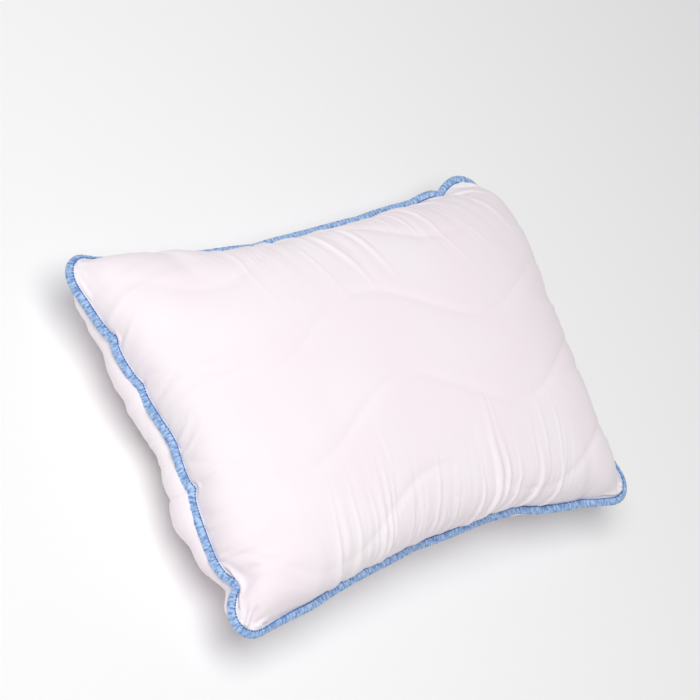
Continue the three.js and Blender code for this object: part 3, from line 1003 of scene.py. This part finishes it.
def make_studio():
    """White light from all round, one soft key light and a white floor."""
    world = bpy.data.worlds.new("studio")
    world.use_nodes = True
    backdrop = world.node_tree.nodes["Background"]
    backdrop.inputs["Color"].default_value = (1, 1, 1, 1)
    backdrop.inputs["Strength"].default_value = WORLD_LIGHT
    bpy.context.scene.world = world
    make_light("key", KEY_PLACE, KEY_SIZE, KEY_POWER)
    corners = np.array([(-1, -1, 0), (1, -1, 0), (1, 1, 0), (-1, 1, 0)]) * FLOOR_HALF
    floor = mesh_piece("floor", corners - (0, 0, FLOOR_GAP), [(0, 1, 2, 3)])
    material, _ = finish("matt white studio floor", 0.9, 0, "#fbfbfb")
    floor.data.materials.append(material)
    bpy.context.scene.view_settings.view_transform = "Standard"


# ---- the pillow ----


def place_piece(piece, material, slot, *nodes):
    """Gives a piece its material and body, and hides the CAD nodes that it replaces. The slot is not used."""
    piece.data.materials.append(material)
    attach(piece, "root")
    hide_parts(*nodes)


# Each layer's depth below the outside of the cover: its top and bottom over the fill, then its top
# and bottom where the seam presses the layers together
DEPTHS = {
    "wadding": (0.9, 5.6, 0.55, 0.75),
    "lining": (6.0, 6.5, 0.8, 0.9),
    "fibre": (7.2, None, 0.94, None),
}
SEAM_STACK = 1.0  # from the middle of the seam to the outside of the cover
LAYER_STEP = 2  # the layers inside take every second knot of the cover's net
CORE_INSET = 90  # how far the thick middle of the pillow is from its seams
OPEN_FROM = 18  # how far in the layers reach their depths over the fill
SMOOTHING_PASSES = 12
RISE_SPREAD = 4  # knots by which a layer stays low round a fold that it can't follow


def away_from_core(points):
    """The direction to each point from the nearest place in the pillow's thick middle."""
    reach = np.array((HALF_LENGTH - CORE_INSET, HALF_WIDTH - CORE_INSET))
    core = np.full_like(points, SEAM_HEIGHT)
    core[..., :2] = np.clip(points[..., :2], -reach, reach)
    away = points - core
    return away / np.linalg.norm(away, axis=-1, keepdims=True)


def under_cover(points, side):
    """The net without its fine folds, the way out, and how far to sink it to stay below the cover."""
    free = np.pad(np.ones((points.shape[0] - 2, points.shape[1] - 2)), 1)
    amount = np.full(points.shape[:2], 0.05)
    base = points
    for _ in range(SMOOTHING_PASSES):
        base = smooth_bending(base, amount, free)
    u, v = grid_square((points.shape[0] - 1, points.shape[1] - 1))
    open_share = (1 - seam_zone(u, v, OPEN_FROM, 2)) * free
    base = points + (base - points) * open_share[..., None]
    outward = away_from_core(base)
    rise = np.maximum(((base - points) * outward).sum(-1), 0)
    for _ in range(RISE_SPREAD):
        for axis in (0, 1):
            rise = np.maximum(rise, np.maximum(np.roll(rise, 1, axis), np.roll(rise, -1, axis)))
    every = (slice(None, None, LAYER_STEP), slice(None, None, LAYER_STEP))
    return base[every], outward[every], (rise * open_share)[every], open_share[every], side


def sunk(under, over, pressed):
    """The layer's surface that is this deep below the cover over the fill, and less at the seam."""
    base, outward, rise, open_share, side = under
    depth = pressed + (over - pressed) * open_share + rise
    depth[[0, -1], :] = 0
    depth[:, [0, -1]] = 0
    surface = base - outward * depth[..., None]
    edge = surface.reshape(-1, 3)
    loop = edge_loop(base.shape[:2])
    edge[loop] -= seam_frame_at(edge[loop])[2] * side * pressed
    return surface


def build_panel(label, side, levels):
    """Makes a panel's layers and quilting. Returns its seam, the fill's face under it and the flat net."""
    points, flat = solve_panel(side, levels, FOLD_SEED + side)
    loop = edge_loop(points.shape[:2])
    edge = points.reshape(-1, 3)[loop].copy()
    _, out, up = seam_frame_at(edge)
    lifted = points.copy()
    lifted.reshape(-1, 3)[loop] += up * side * SEAM_STACK
    inner = lifted - surface_normals(points, side) * COVER_THICKNESS
    inner.reshape(-1, 3)[loop] = edge + up * side * (SEAM_STACK - COVER_THICKNESS)
    outer_edge = edge + out * ALLOWANCE + up * side * SEAM_STACK
    inner_edge = outer_edge - up * side * COVER_THICKNESS
    piece = slab(f"{label}_cover_cloth", lifted, inner, flat, side, outer_edge, inner_edge)
    place_piece(piece, finishes["cover"], "cover_fabric", f"{label}_cover")
    under, coarse_flat = under_cover(lifted, side), flat[::LAYER_STEP, ::LAYER_STEP]
    layers = {}
    for name in ("wadding", "lining"):
        top_depth, bottom_depth, top_pressed, bottom_pressed = DEPTHS[name]
        top = sunk(under, top_depth, top_pressed)
        bottom = sunk(under, bottom_depth, bottom_pressed)
        layers[name] = slab(f"{label}_{name}_layer", top, bottom, coarse_flat, side)
        place_piece(layers[name], finishes[name], name, f"{label}_{name}")
    for row in range(ROWS):
        piece = quilting_row(f"{label}_quilting_stitches_{row + 1}", lifted, side, row)
        place_piece(piece, finishes["white thread"], "quilting_thread", f"{label}_quilting_thread_{row + 1}")
    return edge, sunk(under, DEPTHS["fibre"][0], DEPTHS["fibre"][2]), coarse_flat


make_camera()
make_studio()
finishes = {
    "cover": brushed_microfibre(),
    "tape": woven_tape(),
    "blue thread": sewing_thread("mid blue sewing thread", "#3a68a8"),
    "white thread": sewing_thread("white sewing thread", "#fbf4f8"),
    "wadding": wadding_finish(),
    "lining": nonwoven_finish(),
    "fibre": fibre_finish(),
}
levels = FULL_LEVELS
seam, fill_top, fill_flat = build_panel("front", 1, levels)
_, fill_bottom, _ = build_panel("back", -1, levels)

fill = slab("fibre_fill_core", fill_top, fill_bottom, fill_flat, 1)
place_piece(fill, finishes["fibre"], "fibre", "fibre_fill")

binding, rows = edge_binding(seam)
place_piece(binding, finishes["tape"], "binding_tape", "edge_binding")
for name, face in (("needle", 1), ("bobbin", -1)):
    piece = binding_stitches(f"binding_{name}_stitches", rows, face)
    place_piece(piece, finishes["blue thread"], "binding_thread", f"binding_{name}_thread")
